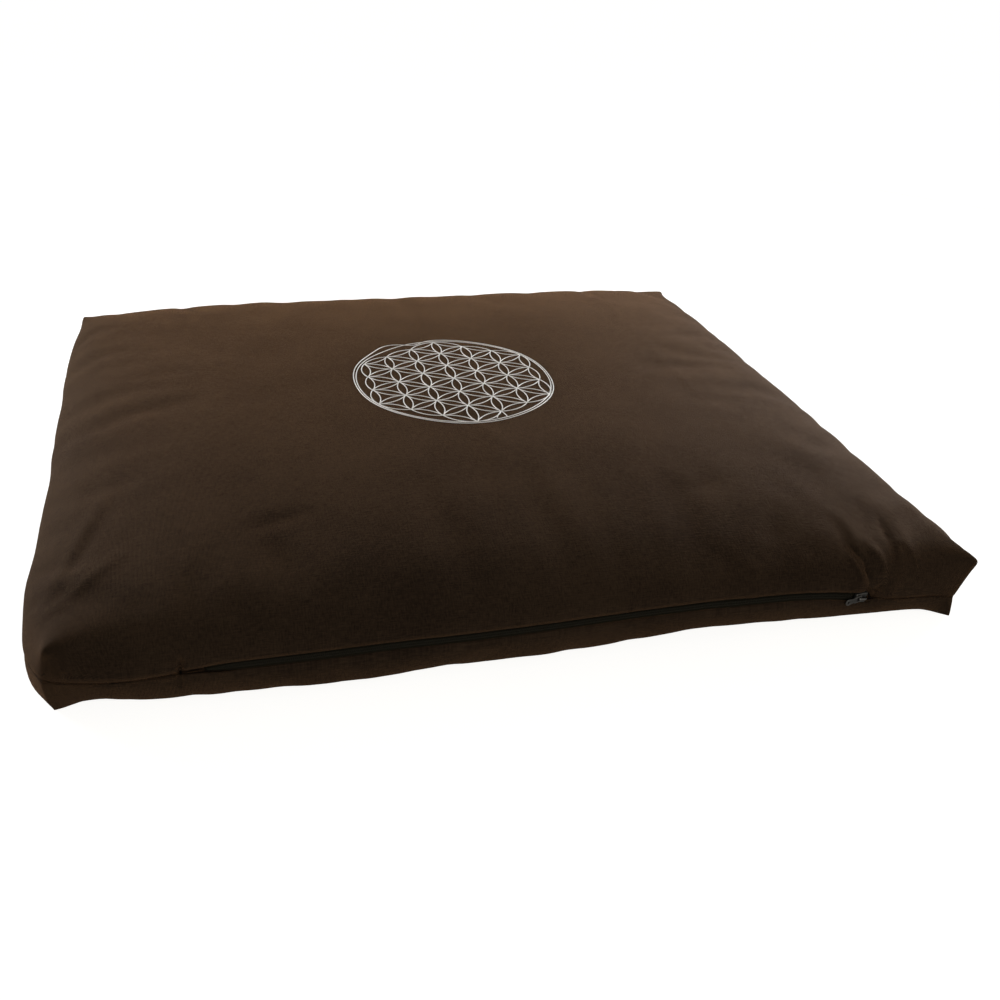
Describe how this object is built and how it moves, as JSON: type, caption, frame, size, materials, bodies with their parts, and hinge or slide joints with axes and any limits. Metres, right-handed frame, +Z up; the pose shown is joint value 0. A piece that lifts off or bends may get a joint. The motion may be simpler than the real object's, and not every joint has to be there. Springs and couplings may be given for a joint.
{
  "type": "zabuton floor cushion",
  "caption": "Wide flat floor cushion with boxed corners, a low side seam, a coil zip along the front and a raised embroidered circle pattern on top.",
  "frame": {"origin": "on the floor, under the middle of the cushion's footprint", "axes": "+X along the zip towards its closed end, +Y from the zip side to the back, +Z up"},
  "size_m": [0.7996, 0.6986, 0.106],
  "materials": {
    "cover": "dense matt brown cotton, finely woven",
    "zip_tape": "black woven polyester tape with a nylon coil",
    "zip_metal": "die-cast zinc with a worn dark plating",
    "embroidery": "silvery white satin-stitched thread"
  },
  "bodies": {
    "root": {"cushion": "cover", "zip_tape_upper": "zip_tape", "zip_tape_lower": "zip_tape", "zip_slider": "zip_metal", "zip_pull": "zip_metal"}
  },
  "joints": []
}
